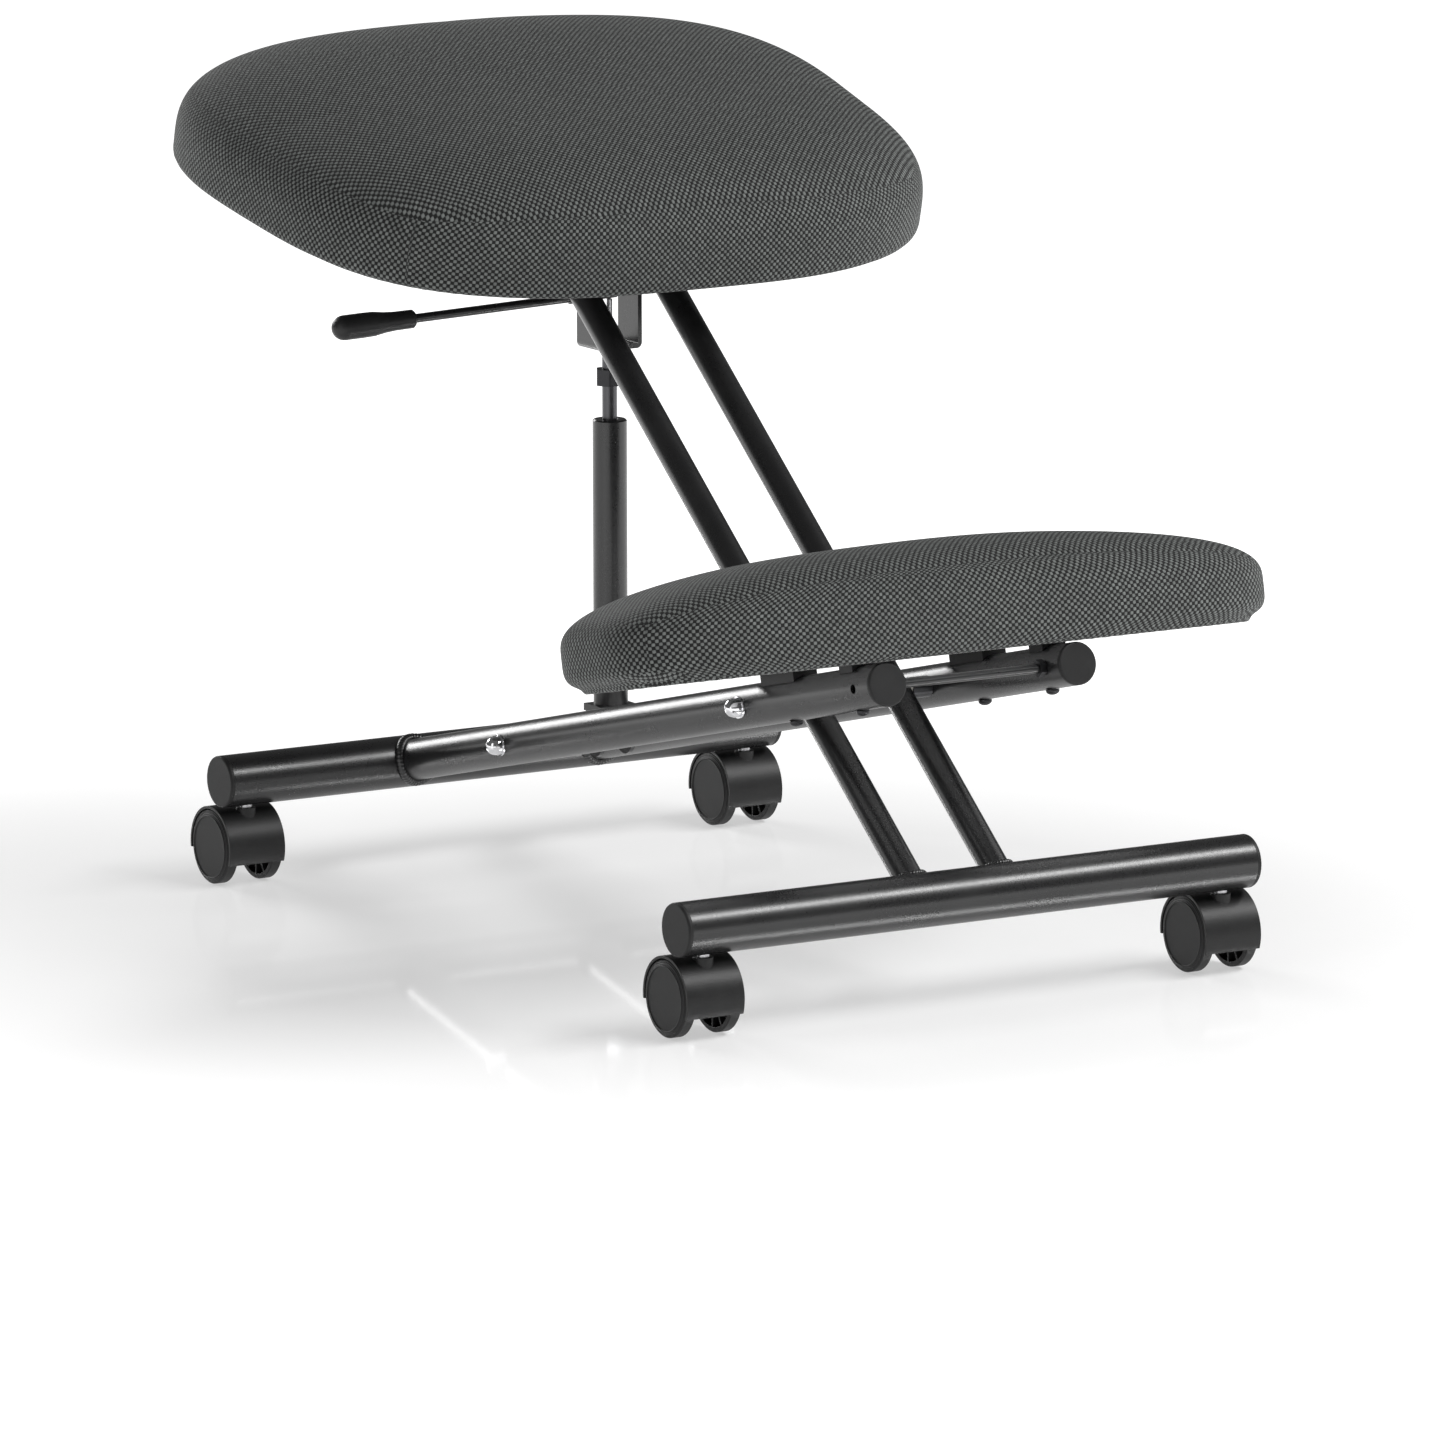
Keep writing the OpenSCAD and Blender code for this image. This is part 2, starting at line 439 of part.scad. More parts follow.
rear_crossbar();
rear_bar_plugs();
side_rail_left();
side_rail_right();
rail_end_plugs();
tie_rod();
tie_rod_nuts();
knee_spacers();
knee_board();
knee_cushion();
knee_underlining();
knee_screws();
knee_tnuts();
pivot_axle();
pivot_spacers();
spring_axle();
spring_axle_spacers();
axle_cap_nuts();
rear_caster_stems();
front_crossbar();
front_bar_plugs();
strut_left();
strut_right();
strut_bushes();
seat_bracket();
seat_board();
seat_cushion();
seat_underlining();
seat_screws();
seat_tnuts();
upper_axle();
upper_axle_nuts();
front_caster_stems();
cylinder_tube();
cylinder_gland();
lower_clevis();
piston_rod();
rod_nut();
upper_strap();
lever_pin();
release_pin();
lever_rod();
lever_grip();
hood_front_left();
hood_front_right();
hood_rear_left();
hood_rear_right();
caster_axle_front_left();
caster_axle_front_right();
caster_axle_rear_left();
caster_axle_rear_right();
wheel_front_left_outer();
wheel_front_left_inner();
wheel_front_right_outer();
wheel_front_right_inner();
wheel_rear_left_outer();
wheel_rear_left_inner();
wheel_rear_right_outer();
wheel_rear_right_inner();
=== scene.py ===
import bpy, bmesh, json, math
import numpy as np
from mathutils import Matrix, Vector

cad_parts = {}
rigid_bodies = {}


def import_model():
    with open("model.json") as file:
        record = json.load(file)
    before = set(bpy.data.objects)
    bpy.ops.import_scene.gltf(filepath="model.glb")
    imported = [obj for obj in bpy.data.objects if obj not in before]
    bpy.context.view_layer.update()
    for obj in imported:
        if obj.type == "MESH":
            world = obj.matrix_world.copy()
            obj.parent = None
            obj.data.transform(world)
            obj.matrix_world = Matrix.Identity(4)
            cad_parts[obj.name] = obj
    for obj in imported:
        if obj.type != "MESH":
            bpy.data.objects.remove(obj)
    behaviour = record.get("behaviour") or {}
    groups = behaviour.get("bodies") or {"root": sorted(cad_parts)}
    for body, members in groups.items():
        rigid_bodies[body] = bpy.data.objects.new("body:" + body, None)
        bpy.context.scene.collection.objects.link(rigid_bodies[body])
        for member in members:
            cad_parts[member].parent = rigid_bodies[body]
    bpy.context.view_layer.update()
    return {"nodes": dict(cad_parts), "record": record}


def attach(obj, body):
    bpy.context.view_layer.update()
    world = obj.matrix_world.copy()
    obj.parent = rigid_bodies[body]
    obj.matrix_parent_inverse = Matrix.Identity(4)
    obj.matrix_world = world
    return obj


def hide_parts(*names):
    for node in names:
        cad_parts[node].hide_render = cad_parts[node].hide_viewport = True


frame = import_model()
nodes = frame["nodes"]
scene = bpy.context.scene
MM = 0.001


# ------------------------------------------------------------------ camera --
def make_camera():
    az, el, roll = math.radians(-31.32), math.radians(10.41), math.radians(-0.12)
    back = Vector((math.sin(az) * math.cos(el), -math.cos(az) * math.cos(el), math.sin(el)))
    right = Vector((0, 0, 1)).cross(back).normalized()
    up = back.cross(right)
    r2 = right * math.cos(roll) + up * math.sin(roll)
    u2 = up * math.cos(roll) - right * math.sin(roll)
    m = Matrix((r2, u2, back)).transposed().to_4x4()
    m.translation = Vector((-4.2107, -6.9278, 1.6340))
    cam = bpy.data.cameras.new("camera")
    cam.lens, cam.sensor_width, cam.sensor_fit = 312.71, 36, "HORIZONTAL"
    cam.shift_x, cam.shift_y = -0.00554, -0.0083
    cam.clip_start, cam.clip_end = 0.1, 200
    o = bpy.data.objects.new("camera", cam)
    o.matrix_world = m
    scene.collection.objects.link(o)
    scene.camera = o


make_camera()
scene.view_settings.view_transform = "Standard"
scene.view_settings.look = "None"


# ------------------------------------------------------------- node helpers --
class G:
    """Builds shader nodes in one tree."""

    def __init__(self, name):
        self.mat = bpy.data.materials.new(name)
        self.mat.use_nodes = True
        self.t = self.mat.node_tree
        self.t.nodes.clear()
        self.out = self.t.nodes.new("ShaderNodeOutputMaterial")
        self.bsdf = self.t.nodes.new("ShaderNodeBsdfPrincipled")
        self.t.links.new(self.bsdf.outputs[0], self.out.inputs["Surface"])

    def node(self, kind, **props):
        n = self.t.nodes.new(kind)
        for k, v in props.items():
            setattr(n, k, v)
        return n

    def put(self, socket, v):
        if isinstance(v, bpy.types.NodeSocket):
            self.t.links.new(v, socket)
        else:
            socket.default_value = v

    def math(self, op, a, b=None, c=None, clamp=False):
        n = self.node("ShaderNodeMath", operation=op, use_clamp=clamp)
        self.put(n.inputs[0], a)
        if b is not None:
            self.put(n.inputs[1], b)
        if c is not None:
            self.put(n.inputs[2], c)
        return n.outputs[0]

    def add(self, a, b): return self.math("ADD", a, b)
    def sub(self, a, b): return self.math("SUBTRACT", a, b)
    def mul(self, a, b): return self.math("MULTIPLY", a, b)
    def div(self, a, b): return self.math("DIVIDE", a, b)
    def mx(self, a, b): return self.math("MAXIMUM", a, b)
    def mn(self, a, b): return self.math("MINIMUM", a, b)

    def mix(self, f, a, b):
        """Linear mix of two numbers."""
        n = self.node("ShaderNodeMix", data_type="FLOAT")
        self.put(n.inputs[0], f)
        self.put(n.inputs[2], a)
        self.put(n.inputs[3], b)
        return n.outputs[0]

    def mixc(self, f, a, b, blend="MIX"):
        n = self.node("ShaderNodeMix", data_type="RGBA", blend_type=blend)
        self.put(n.inputs[0], f)
        for i, v in ((6, a), (7, b)):
            self.put(n.inputs[i], v if isinstance(v, bpy.types.NodeSocket) else (*v, 1))
        return n.outputs[2]

    def step(self, v, lo, hi, a=0.0, b=1.0):
        n = self.node("ShaderNodeMapRange", interpolation_type="SMOOTHSTEP")
        self.put(n.inputs[0], v)
        n.inputs[1].default_value, n.inputs[2].default_value = lo, hi
        n.inputs[3].default_value, n.inputs[4].default_value = a, b
        return n.outputs[0]

    def line(self, v, lo, hi, a=0.0, b=1.0):
        n = self.node("ShaderNodeMapRange")
        self.put(n.inputs[0], v)
        n.inputs[1].default_value, n.inputs[2].default_value = lo, hi
        n.inputs[3].default_value, n.inputs[4].default_value = a, b
        return n.outputs[0]

    def coords(self, scale=(1, 1, 1)):
        c = self.node("ShaderNodeTexCoord").outputs["Object"]
        if scale == (1, 1, 1):
            return c
        m = self.node("ShaderNodeMapping")
        m.inputs["Scale"].default_value = scale
        self.t.links.new(c, m.inputs["Vector"])
        return m.outputs[0]

    def noise(self, vec, scale, detail=2.0, rough=0.5, distortion=0.0):
        n = self.node("ShaderNodeTexNoise")
        self.put(n.inputs["Vector"], vec)
        n.inputs["Scale"].default_value = scale
        n.inputs["Detail"].default_value = detail
        n.inputs["Roughness"].default_value = rough
        n.inputs["Distortion"].default_value = distortion
        return n.outputs["Fac"]

    def voronoi(self, vec, scale, feature="F1"):
        n = self.node("ShaderNodeTexVoronoi", feature=feature)
        self.put(n.inputs["Vector"], vec)
        n.inputs["Scale"].default_value = scale
        return n.outputs[0]

    def sep(self, v):
        n = self.node("ShaderNodeSeparateXYZ")
        self.put(n.inputs[0], v)
        return n.outputs[0], n.outputs[1], n.outputs[2]

    def attr(self, name):
        n = self.node("ShaderNodeAttribute", attribute_name=name)
        return n.outputs["Vector"]

    def bump(self, height, distance, strength=1.0, normal=None):
        n = self.node("ShaderNodeBump")
        n.inputs["Strength"].default_value = strength
        n.inputs["Distance"].default_value = distance
        self.put(n.inputs["Height"], height)
        if normal is not None:
            self.put(n.inputs["Normal"], normal)
        return n.outputs[0]

    def soft_edges(self, radius):
        n = self.node("ShaderNodeBevel", samples=4)
        n.inputs["Radius"].default_value = radius
        return n.outputs[0]

    def set(self, **kw):
        names = {"color": "Base Color", "rough": "Roughness", "metal": "Metallic", "ior": "IOR",
                 "normal": "Normal", "coat": "Coat Weight", "coat_rough": "Coat Roughness",
                 "sheen": "Sheen Weight", "sheen_rough": "Sheen Roughness", "spec": "Specular IOR Level",
                 "aniso": "Anisotropic"}
        for k, v in kw.items():
            if isinstance(v, tuple):
                v = (*v, 1)
            self.put(self.bsdf.inputs[names[k]], v)
        return self.mat


# --------------------------------------------------------------- materials --
def black_steel():
    """Satin black powder coat: orange peel, faint gloss changes, a little dust."""
    g = G("black_powder_coat")
    c = g.coords()
    peel = g.noise(c, 620, 3, 0.55)
    fine = g.noise(c, 2600, 2, 0.5)
    wide = g.noise(c, 22, 3, 0.6)
    col = g.mixc(g.step(wide, 0.35, 0.7), (0.0105, 0.0105, 0.0110), (0.0150, 0.0150, 0.0155))
    col = g.mixc(g.mul(g.step(fine, 0.60, 0.78), 0.35), col, (0.030, 0.030, 0.031))
    rough = g.add(g.line(peel, 0.2, 0.8, 0.25, 0.33), g.line(wide, 0.2, 0.8, -0.02, 0.03))
    h = g.add(g.mul(peel, 0.8), g.mul(fine, 0.2))
    return g.set(color=col, rough=rough, ior=1.62, normal=g.bump(h, 0.00010, 0.30))


def satin_plastic(name, dark, light, rough, grain=2400, depth=0.00010, edge=0.0006):
    g = G(name)
    c = g.coords()
    n1 = g.noise(c, grain, 3, 0.6)
    n2 = g.noise(c, 45, 3, 0.6)
    n3 = g.voronoi(c, grain * 0.55)
    col = g.mixc(g.step(n2, 0.3, 0.72), dark, light)
    col = g.mixc(g.mul(g.step(n1, 0.55, 0.75), 0.3), col, tuple(min(1, v * 1.9 + 0.006) for v in light))
    r = g.add(g.line(n1, 0.25, 0.75, rough - 0.06, rough + 0.06), g.line(n2, 0.2, 0.8, -0.03, 0.03))
    h = g.add(g.mul(n1, 0.6), g.mul(n3, 0.4))
    return g.set(color=col, rough=r, ior=1.40, normal=g.bump(h, depth, 0.5, g.soft_edges(edge)))


def metal(name, base, rough, grain=900, depth=0.00004, streak=None, edge=0.0004):
    g = G(name)
    c = g.coords(streak or (1, 1, 1))
    n1 = g.noise(c, grain, 3, 0.6)
    n2 = g.noise(g.coords(), 60, 3, 0.6)
    col = g.mixc(g.step(n2, 0.3, 0.75), tuple(v * 0.90 for v in base), base)
    col = g.mixc(g.mul(g.step(n1, 0.55, 0.8), 0.25), col, tuple(v * 0.62 for v in base))
    r = g.add(g.line(n1, 0.25, 0.75, rough * 0.75, rough * 1.25), g.line(n2, 0.2, 0.8, -0.02, 0.02))
    return g.set(color=col, rough=r, metal=1.0, normal=g.bump(n1, depth, 0.4, g.soft_edges(edge)))


def zinc():
    g = G("zinc_plated_steel")
    c = g.coords()
    cell = g.voronoi(c, 420)
    n1 = g.noise(c, 1500, 2, 0.5)
    col = g.mixc(g.step(cell, 0.1, 0.6), (0.50, 0.50, 0.515), (0.66, 0.66, 0.675))
    col = g.mixc(g.mul(g.step(n1, 0.55, 0.75), 0.3), col, (0.42, 0.42, 0.42))
    return g.set(color=col, rough=g.line(n1, 0.2, 0.8, 0.28, 0.42), metal=1.0,
                 normal=g.bump(g.add(cell, n1), 0.00004, 0.35, g.soft_edges(0.0004)))


def plywood():
    g = G("birch_plywood")
    c = g.coords()
    x, y, z = g.sep(c)
    grain = g.noise(g.coords((9, 130, 130)), 1.6, 5, 0.62, 0.4)
    pores = g.noise(g.coords((60, 900, 900)), 1.0, 3, 0.6)
    tilt = g.add(z, g.mul(y, -0.22))
    ply = g.math("PINGPONG", tilt, 0.0015)
    layer = g.step(ply, 0.0005, 0.0010)
    col = g.mixc(g.step(grain, 0.32, 0.68), (0.50, 0.34, 0.185), (0.66, 0.49, 0.30))
    col = g.mixc(g.mul(g.step(pores, 0.6, 0.72), 0.5), col, (0.30, 0.18, 0.09))
    col = g.mixc(g.mul(layer, 0.35), col, (0.36, 0.22, 0.11))
    return g.set(color=col, rough=g.line(grain, 0.2, 0.8, 0.5, 0.66),
                 normal=g.bump(g.add(grain, pores), 0.0002, 0.4))


def nonwoven(name, low, high, rough=0.85, depth=0.00022):
    """Spun-bonded sheet: crossing fibres with a grid of small bond points."""
    g = G(name)
    c = g.coords()
    x, y, z = g.sep(c)
    f1 = g.noise(g.coords((1, 7, 7)), 260, 3, 0.6)
    f2 = g.noise(g.coords((7, 1, 1)), 260, 3, 0.6)
    cx = g.math("PINGPONG", g.add(x, y), 0.0011)
    cy = g.math("PINGPONG", g.sub(x, y), 0.0011)
    bond = g.mul(g.step(cx, 0.0007, 0.0010), g.step(cy, 0.0007, 0.0010))
    col = g.mixc(g.step(g.add(f1, f2), 0.75, 1.25), low, high)
    col = g.mixc(g.mul(bond, 0.35), col, tuple(v * 0.75 for v in low))
    h = g.sub(g.add(f1, f2), g.mul(bond, 0.9))
    return g.set(color=col, rough=g.line(f1, 0.2, 0.8, rough - 0.08, rough + 0.08),
                 normal=g.bump(h, depth, 0.6))


WARP, WEFT = 0.00235, 0.00212     # thread spacings, metres


def weave_fabric():
    """Charcoal plain weave: pale floats staggered over dark threads, cut in panels.
    wv_xy, wv_uv and wv_n are laid on the cushion meshes: flat position, lengths along the
    front and side panels and down from the crest, and the plain shape's normal."""
    g = G("charcoal_weave")
    x, y, _ = g.sep(g.attr("wv_xy"))
    uf, us, v = g.sep(g.attr("wv_uv"))
    nx, ny, nz = g.sep(g.attr("wv_n"))
    ax, ay, azn = (g.math("ABSOLUTE", q) for q in (nx, ny, nz))
    top = g.math("GREATER_THAN", azn, g.mx(ax, ay))
    front = g.math("GREATER_THAN", ay, ax)
    edge_top = g.math("ABSOLUTE", g.sub(azn, g.mx(ax, ay)))
    edge_cor = g.add(g.math("ABSOLUTE", g.sub(ay, ax)), g.mul(g.mx(0.0, g.sub(azn, g.mx(ax, ay))), 20.0))
    U = g.mix(top, g.mix(front, g.div(v, WARP), g.div(uf, WARP)), g.div(y, WARP))
    V = g.mix(top, g.mix(front, g.div(us, WEFT), g.div(v, WEFT)), g.div(x, WEFT))
    U, V = g.add(U, 400.0), g.add(V, 400.0)
    # threads wander a little
    c = g.coords()
    w1, w2 = g.noise(c, 90, 2), g.noise(c, 130, 2, 0.5, 0.3)
    U = g.add(U, g.line(w1, 0.2, 0.8, -0.16, 0.16))
    V = g.add(V, g.line(w2, 0.2, 0.8, -0.12, 0.12))
    a, b = g.math("FLOOR", U), g.math("FLOOR", V)
    fu, fv = g.sub(g.sub(U, a), 0.5), g.sub(g.sub(V, b), 0.5)
    zw = g.math("COSINE", g.mul(g.sub(g.sub(U, 0.5), b), math.pi))
    zp = g.mul(g.math("COSINE", g.mul(g.sub(g.sub(V, 0.5), a), math.pi)), -1.0)
    pw = g.math("SQRT", g.mx(0.0, g.sub(1.0, g.math("POWER", g.mul(g.math("ABSOLUTE", fv), 2.0), 2.0))))
    pp = g.math("SQRT", g.mx(0.0, g.sub(1.0, g.math("POWER", g.mul(g.math("ABSOLUTE", fu), 2.0), 2.0))))
    hw = g.add(g.mul(zw, 0.5), g.mul(pw, 0.5))
    hp = g.add(g.mul(zp, 0.42), g.mul(pp, 0.42))
    over = g.step(g.sub(hw, hp), -0.04, 0.10)
    h = g.mx(hw, hp)
    # yarn detail: plies along each thread and fibre fuzz
    ply_w = g.math("SINE", g.mul(g.add(g.mul(U, 1.6), g.mul(V, 6.2)), 2 * math.pi))
    ply_p = g.math("SINE", g.mul(g.add(g.mul(V, 1.6), g.mul(U, 6.2)), 2 * math.pi))
    ply = g.mix(over, ply_p, ply_w)
    fuzz = g.noise(c, 5200, 2, 0.6)
    # every float its own shade
    cell = g.node("ShaderNodeTexWhiteNoise", noise_dimensions="2D")
    comb = g.node("ShaderNodeCombineXYZ")
    g.put(comb.inputs[0], g.math("FLOOR", g.mul(U, 0.5)))
    g.put(comb.inputs[1], b)
    g.put(cell.inputs["Vector"], comb.outputs[0])
    shade = g.line(cell.outputs["Value"], 0, 1, 0.80, 1.15)
    wide = g.noise(c, 16, 3, 0.6)
    # painted shade: colour darkened where the weave lies low, between the threads, down to a quarter at the
    # lowest; each float's own random tone and a broad random tone ride on it
    gap_shade_and_tone = g.mul(g.step(h, 0.15, 0.95, 0.25, 1.0), g.mul(shade, g.line(wide, 0.25, 0.75, 0.95, 1.05)))
    gap_shade_and_tone = g.mul(gap_shade_and_tone, g.line(fuzz, 0.2, 0.8, 0.86, 1.14))
    # painted shade in the grooves between the plies, darker where the ply height is low
    gap_shade_and_tone = g.mul(gap_shade_and_tone, g.line(ply, -1, 1, 0.93, 1.07))
    thread = g.mixc(over, DARK_THREAD, PALE_THREAD)
    n = g.node("ShaderNodeVectorMath", operation="SCALE")
    g.put(n.inputs[0], thread)
    g.put(n.inputs["Scale"], gap_shade_and_tone)
    seam = g.mx(g.step(edge_top, 0.020, 0.0), g.step(edge_cor, 0.022, 0.0))
    col = g.mixc(g.mul(seam, 0.25), n.outputs[0], (0.02, 0.0205, 0.0203))
    height = g.add(g.add(g.mul(h, 0.00050), g.mul(ply, 0.000025)), g.mul(fuzz, 0.00008))
    height = g.sub(height, g.mul(seam, 0.00025))
    return g.set(color=col, rough=g.line(fuzz, 0.2, 0.8, 0.78, 0.95), ior=1.45,
                 sheen=0.12, sheen_rough=0.45, normal=g.bump(height, 1.0, 0.75))


DARK_THREAD, PALE_THREAD = (0.0060, 0.0065, 0.0063), (0.176, 0.187, 0.181)
M_STEEL = black_steel()
M_PLUG = satin_plastic("black_plug_plastic", (0.011, 0.011, 0.0113), (0.015, 0.015, 0.0153), 0.52)
M_HOOD = satin_plastic("hood_plastic", (0.014, 0.014, 0.0143), (0.019, 0.019, 0.0193), 0.42, 1700, 0.00018)
M_WHEEL = satin_plastic("wheel_plastic", (0.012, 0.012, 0.0123), (0.017, 0.017, 0.0173), 0.50, 2000, 0.00014)
M_GRIP = satin_plastic("grip_plastic", (0.016, 0.016, 0.0165), (0.024, 0.024, 0.0245), 0.42, 1500, 0.00016, 0.0010)
M_BUSH = satin_plastic("natural_nylon", (0.56, 0.55, 0.50), (0.66, 0.65, 0.60), 0.45)
M_SCREW = metal("black_oxide_steel", (0.055, 0.055, 0.058), 0.38, 1400)
M_CHROME = metal("bright_chrome", (0.86, 0.86, 0.88), 0.09, 500, 0.000012)
M_ROD = metal("dark_ground_rod", (0.105, 0.105, 0.11), 0.34, 300, 0.00001, (1, 1, 14))
M_ZINC = zinc()
M_PLY = plywood()
M_PALE = nonwoven("pale_underlining", (0.74, 0.74, 0.74), (0.84, 0.84, 0.84), 0.62, 0.00012)
M_DARK = nonwoven("dark_dust_cover", (0.012, 0.012, 0.012), (0.026, 0.026, 0.026))
M_CYL = black_steel()
M_CYL.name = "cylinder_enamel"
M_FABRIC = weave_fabric()

BY_SLOT = {"black_steel": M_STEEL, "black_plug": M_PLUG, "plywood": M_PLY, "pale_lining": M_PALE,
           "dark_lining": M_DARK, "black_screw": M_SCREW, "zinc_steel": M_ZINC, "bright_chrome": M_CHROME,
           "rod_chrome": M_ROD, "bush_plastic": M_BUSH, "cylinder_paint": M_CYL, "grip_plastic": M_GRIP,
           "caster_plastic": M_HOOD, "wheel_plastic": M_WHEEL, "fabric": M_FABRIC}
for sp in frame["record"]["subparts"]:
    o = nodes[sp["node"]]
    o.data.materials.clear()
    o.data.materials.append(BY_SLOT[sp["material_slot"]])


# ------------------------------------------------------------ mesh helpers --
def new_object(name, verts, faces, mat, smooth=True):
    me = bpy.data.meshes.new(name)
    me.from_pydata([tuple(map(float, v)) for v in verts], [], [tuple(int(i) for i in f) for f in faces])
    me.update()
    bm = bmesh.new()
    bm.from_mesh(me)
    bmesh.ops.recalc_face_normals(bm, faces=bm.faces)
    bm.to_mesh(me)
    bm.free()
    if smooth:
        me.polygons.foreach_set("use_smooth", [True] * len(me.polygons))
    me.materials.append(mat)
    o = bpy.data.objects.new(name, me)
    scene.collection.objects.link(o)
    return o


def rot_x(deg):
    a = math.radians(deg)
    return np.array([[1, 0, 0], [0, math.cos(a), -math.sin(a)], [0, math.sin(a), math.cos(a)]])


# ---------------------------------------------------------------- cushions --
def spow(v, e):
    return np.sign(v) * np.abs(v) ** e


def quarter_outline(a, b, p, n=721):
    t = np.linspace(0, 2 * np.pi, 4 * n + 1)
    pts = np.c_[a * spow(np.cos(t), 2 / p), b * spow(np.sin(t), 2 / p)]
    d = np.r_[0, np.cumsum(np.hypot(*np.diff(pts, axis=0).T))]
    return t, pts, d


def cushion(name, body, node, place, tilt, a, b, ct, cb, p, mt, mb, k, crown, inset, nu, nv, shrink, travel):
    """A padded seat: structured mesh of the plain shape, swelled by a cloth simulation."""
    a, b, ct, cb, inset = (v * MM for v in (a, b, ct, cb, inset))
    t, pts, d = quarter_outline(a, b, p)
    per = d[-1]
    at = lambda q: np.array([np.interp(q % per, d, pts[:, 0]), np.interp(q % per, d, pts[:, 1])])
    i45 = int(np.argmin(np.abs(t - np.pi / 4)))
    c0 = d[i45]                                  # corner, first quadrant
    corners = [c0, per / 2 - c0, per / 2 + c0, per - c0]
    # boundary of the square grid, counter-clockwise from the +x -y corner
    def boundary(u, v):
        if abs(u) >= abs(v):
            if u > 0: return -c0 + (v / u + 1) / 2 * 2 * c0
            return corners[1] + (1 - v / abs(u)) / 2 * (corners[2] - corners[1])
        if v > 0: return c0 + (1 - u / v) / 2 * (corners[1] - c0)
        return corners[2] + (u / abs(v) + 1) / 2 * (corners[3] - corners[2])

    # meridian from the middle of the top to the underside
    f = np.linspace(np.pi / 2, 0, 400)
    rt, zt = np.cos(f) ** (2 / mt), ct * np.sin(f) ** (2 / mt)
    f = np.linspace(0, np.pi / 2, 400)[1:]
    rb, zb = np.cos(f) ** (2 / mb), -cb * np.sin(f) ** (2 / mb)
    keep = rb > 0.958
    mr, mz = np.r_[rt, rb[keep], 0.955], np.r_[zt, zb[keep], -cb]
    A = (a + b) / 2
    ms = np.r_[0, np.cumsum(np.hypot(np.diff(mr * A), np.diff(mz)))]
    slope = np.arctan2(-np.gradient(mz, ms), np.gradient(mr * A, ms))
    sc = ms[int(np.argmax(slope > math.radians(33)))]
    rim = np.linspace(0, 1, 2)
    spacing = 2 * (a + b) / (nu + nv)
    nside = max(8, int(round((ms[-1] - sc) / (spacing * 0.8))))

    def point(q, s):
        r, z = np.interp(s, ms, mr), np.interp(s, ms, mz)
        x0, y0 = at(q) * r
        if s > ms[-1] - 1e-9:
            x0, y0 = x0, y0 * 0.925 / 0.955
        x = x0 * (1 + k * y0 / b)
        return [x, y0, z * (1 - crown * (x / a) ** 2) if z > 0 else z]

    verts, index, info = [], {}, []
    for j in range(nv + 1):
        for i in range(nu + 1):
            u, v = 2 * i / nu - 1, 2 * j / nv - 1
            rho = max(abs(u), abs(v))
            q = boundary(u, v) if rho > 1e-9 else 0.0
            s = sc * (1.04 * rho - 0.04 * rho ** 3) if rho < 1 else sc
            index[("t", i, j)] = len(verts)
            verts.append(point(q, s))
            info.append((q, s - sc))
    ring = [(i, 0) for i in range(nu)] + [(nu, j) for j in range(nv)] + \
           [(i, nv) for i in range(nu, 0, -1)] + [(0, j) for j in range(nv, 0, -1)]
    P = len(ring)
    prev = [index[("t", i, j)] for i, j in ring]
    qs = [boundary(2 * i / nu - 1, 2 * j / nv - 1) for i, j in ring]
    faces = [(index[("t", i, j)], index[("t", i + 1, j)], index[("t", i + 1, j + 1)], index[("t", i, j + 1)])
             for j in range(nv) for i in range(nu)]
    dist = np.zeros(P)

    def add_ring(make):
        nonlocal prev, dist
        new = []
        for m_ in range(P):
            v = make(qs[m_], m_)
            dist[m_] += math.dist(v, verts[prev[m_]])
            new.append(len(verts))
            verts.append(v)
            info.append((qs[m_], dist[m_]))
        for m_ in range(P):
            n_ = (m_ + 1) % P
            faces.append((prev[n_], prev[m_], new[m_], new[n_]))
        prev = new

    for l in range(1, nside + 1):
        s = sc + (ms[-1] - sc) * l / nside
        add_ring(lambda q, m_: point(q, s))
    inner = lambda q: (at(q) * np.array([(a - inset) / a, (b - inset) / b]))
    outer_last = [np.array(verts[v]) for v in prev]
    for w in (0.33, 0.66, 1.0):
        def wrap(q, m_, w=w):
            x0, y0 = inner(q)
            e = np.array([x0 * (1 + k * y0 / b), y0, -cb])
            return list(outer_last[m_] * (1 - w) + e * w)
        add_ring(wrap)
    n_free = len(verts)
    for z in (0.0012, 0.0028):
        add_ring(lambda q, m_, z=z: [verts[prev[m_]][0], verts[prev[m_]][1], -cb + z])
    base = {}
    for m_, (i, j) in enumerate(ring):
        base[(i, j)] = prev[m_]
    for j in range(nv + 1):
        for i in range(nu + 1):
            if (i, j) in base: continue
            u, v = 2 * i / nu - 1, 2 * j / nv - 1
            rho = max(abs(u), abs(v))
            q = boundary(u, v) if rho > 1e-9 else 0.0
            x0, y0 = inner(q) * rho
            base[(i, j)] = len(verts)
            verts.append([x0 * (1 + k * y0 / b), y0, -cb + 0.0028])
            info.append((q, 0.2))
    for j in range(nv):
        for i in range(nu):
            faces.append((base[(i, j)], base[(i, j + 1)], base[(i + 1, j + 1)], base[(i + 1, j)]))
    verts = np.array(verts)
    o = new_object(name, verts, faces, M_FABRIC)
    me = o.data
    nrm = np.zeros(len(verts) * 3)
    me.vertices.foreach_get("normal", nrm)
    nrm = nrm.reshape(-1, 3)
    q = np.array([i[0] for i in info]) % per
    drop = np.array([i[1] for i in info])
    wrap_to = lambda q, c: (q - c + per / 2) % per - per / 2
    uf = np.where(np.abs(wrap_to(q, per / 4)) < per / 4, wrap_to(q, per / 4), -wrap_to(q, 3 * per / 4))
